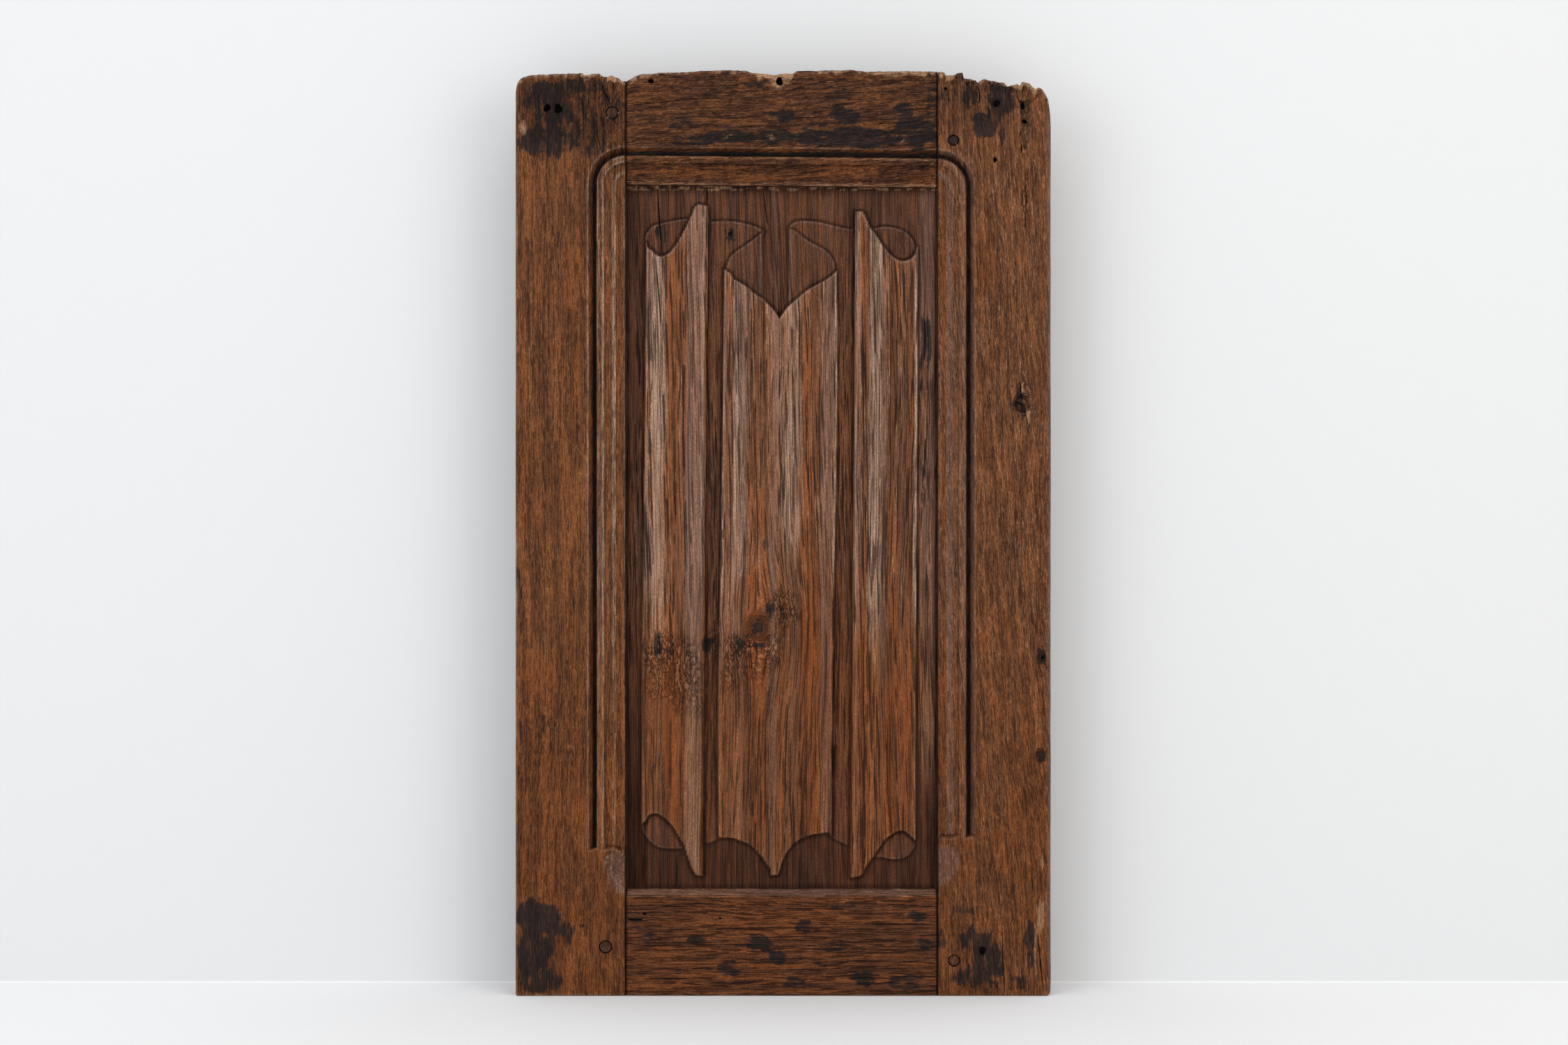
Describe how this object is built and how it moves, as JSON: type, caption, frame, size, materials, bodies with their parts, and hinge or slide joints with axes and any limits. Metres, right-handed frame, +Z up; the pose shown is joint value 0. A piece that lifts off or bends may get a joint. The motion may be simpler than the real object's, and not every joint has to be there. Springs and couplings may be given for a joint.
{
  "type": "carved oak panel",
  "caption": "Old framed oak wall panel: a carved linenfold board in the grooves of a pegged and moulded frame with a worn top edge.",
  "frame": {"origin": "on the flat back of the top rail, halfway across the panel and 56 mm below its highest point", "axes": "+Z up along the stiles, +X to the right seen from the carved front, +Y out of the back towards the wall"},
  "size_m": [0.5314, 0.034, 0.9205],
  "materials": {
    "stile_oak": "waxed and worn brown oak with open vertical grain and dark stains at the joints",
    "rail_oak": "dark waxed oak with ridged horizontal grain, darker stains and fine cracks",
    "board_oak": "waxed brown oak with a soft sheen on the raised folds and dark dirt in the recesses",
    "peg_oak": "dark end grain of riven oak pegs"
  },
  "bodies": {
    "root": {"stile_left": "stile_oak", "stile_right": "stile_oak", "rail_top": "rail_oak", "rail_bottom": "rail_oak", "linenfold_board": "board_oak", "peg_upper_left": "peg_oak", "peg_upper_right": "peg_oak", "peg_lower_left": "peg_oak", "peg_lower_right": "peg_oak"}
  },
  "joints": []
}
